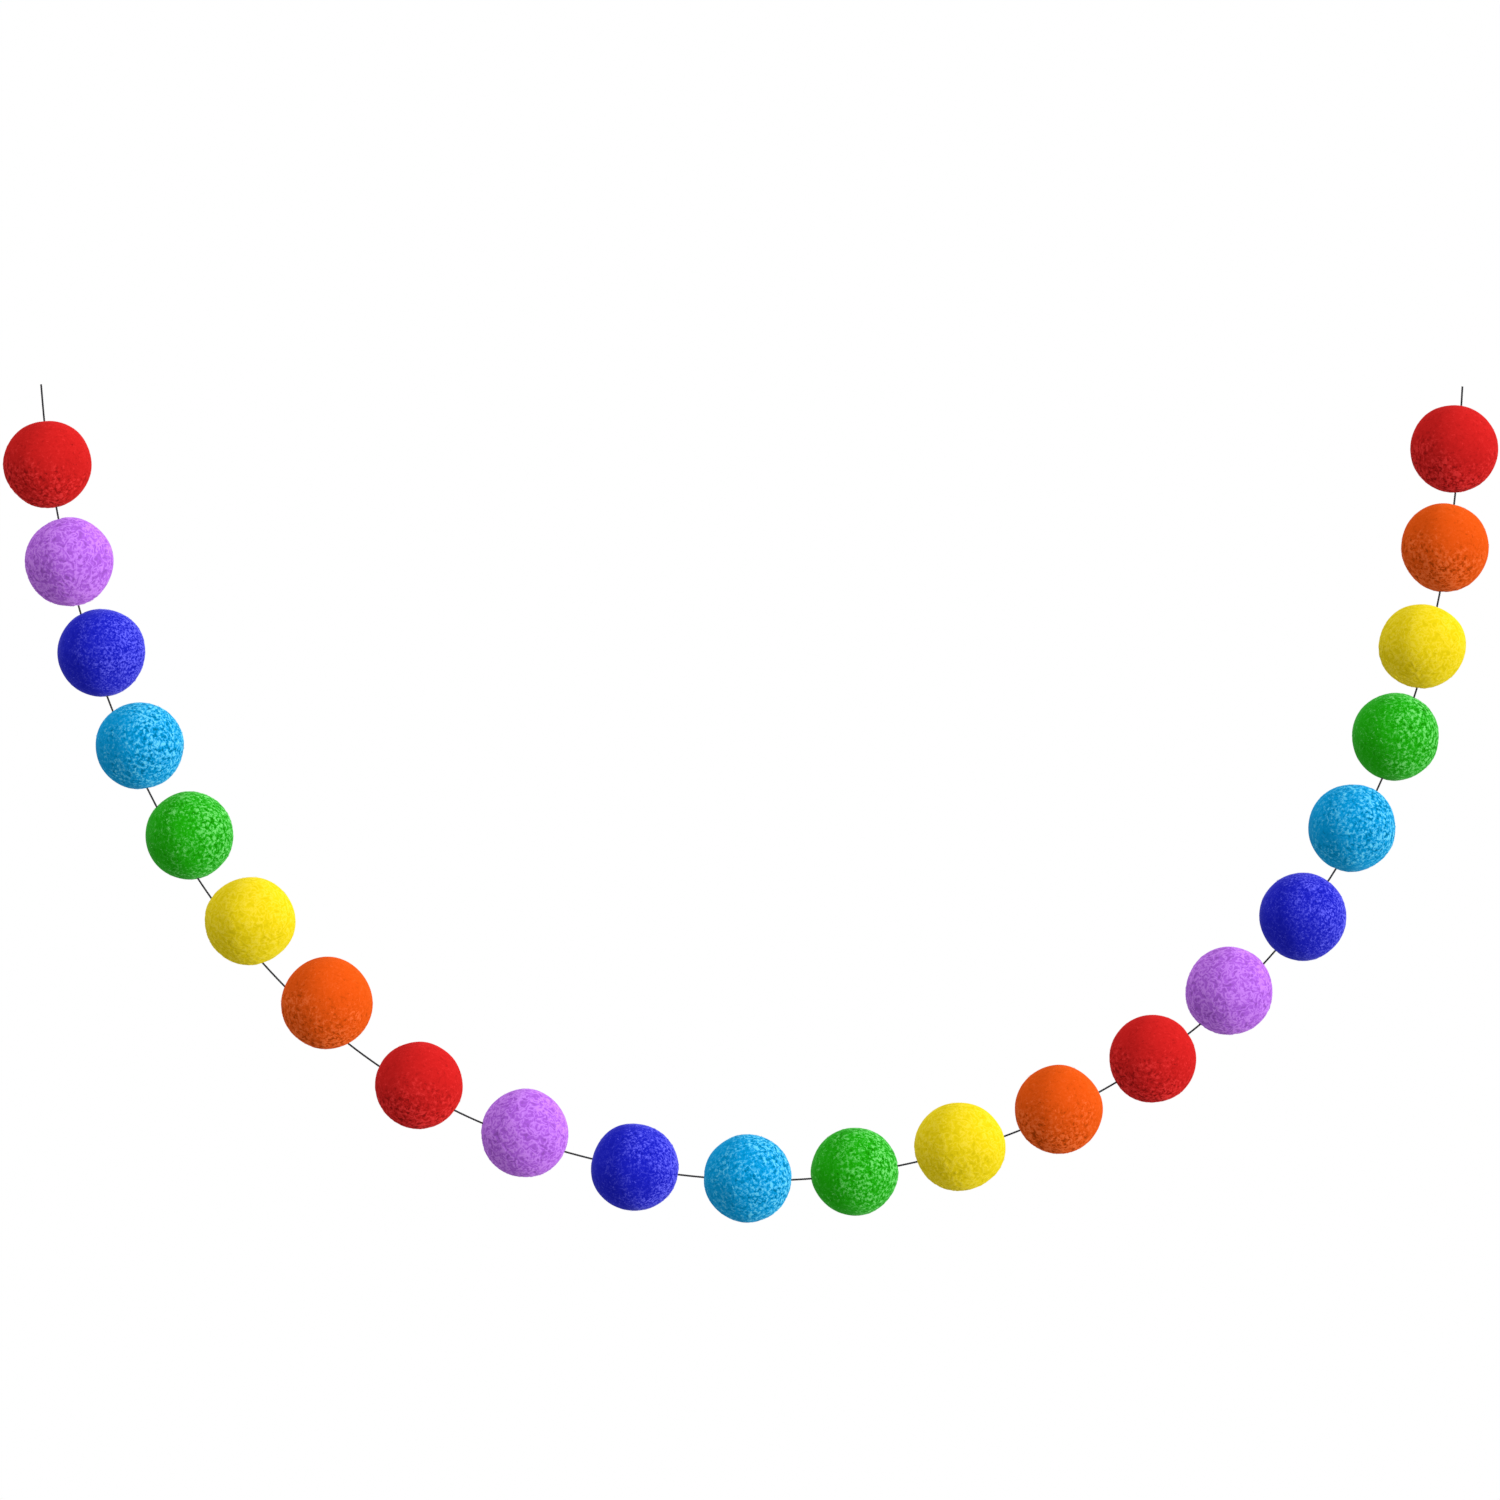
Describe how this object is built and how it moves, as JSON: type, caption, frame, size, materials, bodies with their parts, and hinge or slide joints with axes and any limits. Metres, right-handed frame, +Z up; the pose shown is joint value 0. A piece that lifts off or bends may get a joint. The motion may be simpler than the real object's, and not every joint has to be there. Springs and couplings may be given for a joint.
{
  "type": "felt ball garland",
  "caption": "Garland of felted wool balls in a repeating run of rainbow colours, threaded on a thin dark string that hangs in a deep curve between its two ends.",
  "frame": {"origin": "the left end of the string, the point where the garland is tied up", "axes": "+Z up, +X from the left end towards the right end, along the garland's span; -Y towards the viewer"},
  "size_m": [0.6823, 0.0439, 0.3826],
  "materials": {
    "felt_red": "matt felted wool, bright red",
    "felt_lavender": "matt felted wool, lavender",
    "felt_dark_blue": "matt felted wool, deep blue",
    "felt_sky_blue": "matt felted wool, sky blue",
    "felt_green": "matt felted wool, grass green",
    "felt_yellow": "matt felted wool, lemon yellow",
    "felt_orange": "matt felted wool, orange",
    "string": "dark grey twisted thread"
  },
  "bodies": {
    "root": {"string": "string", "ball_01_red": "felt_red", "ball_02_lavender": "felt_lavender", "ball_03_dark_blue": "felt_dark_blue", "ball_04_sky_blue": "felt_sky_blue", "ball_05_green": "felt_green", "ball_06_yellow": "felt_yellow", "ball_07_orange": "felt_orange", "ball_08_red": "felt_red", "ball_09_lavender": "felt_lavender", "ball_10_dark_blue": "felt_dark_blue", "ball_11_sky_blue": "felt_sky_blue", "ball_12_green": "felt_green", "ball_13_yellow": "felt_yellow", "ball_14_orange": "felt_orange", "ball_15_red": "felt_red", "ball_16_lavender": "felt_lavender", "ball_17_dark_blue": "felt_dark_blue", "ball_18_sky_blue": "felt_sky_blue", "ball_19_green": "felt_green", "ball_20_yellow": "felt_yellow", "ball_21_orange": "felt_orange", "ball_22_red": "felt_red"}
  },
  "joints": []
}
